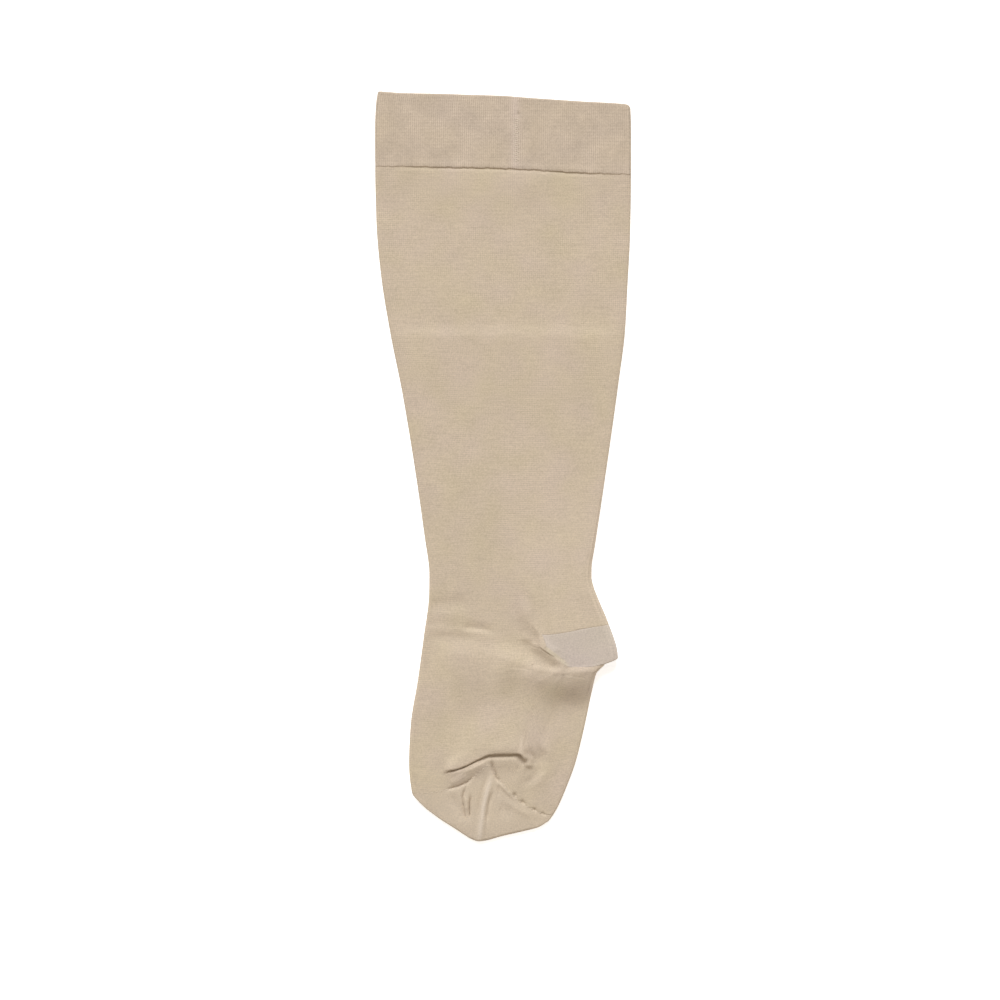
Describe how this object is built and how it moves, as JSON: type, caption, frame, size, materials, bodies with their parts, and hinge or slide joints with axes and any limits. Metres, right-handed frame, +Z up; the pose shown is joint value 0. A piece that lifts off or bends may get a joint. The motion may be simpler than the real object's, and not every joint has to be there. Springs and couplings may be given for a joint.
{
  "type": "knee-high compression stocking",
  "caption": "Closed-toe knee-high compression stocking laid flat on its side, with a deep double band, a heel pocket folded over the foot and a linked toe cap.",
  "frame": {"origin": "on the surface it lies on, under the middle of the stocking's length and width", "axes": "+Y up the stocking from the toe to the band, +X towards the heel, +Z up from the surface"},
  "size_m": [0.1574, 0.4606, 0.0114],
  "materials": {
    "band_knit": "matt beige elastic rib knit, double",
    "leg_knit": "matt beige fine compression knit with a faint sheen",
    "heel_knit": "matt pale plain knit",
    "toe_knit": "matt beige plain knit"
  },
  "bodies": {
    "root": {"top_band": "band_knit", "leg_foot": "leg_knit", "heel_pocket": "heel_knit", "toe_cap": "toe_knit"}
  },
  "joints": []
}
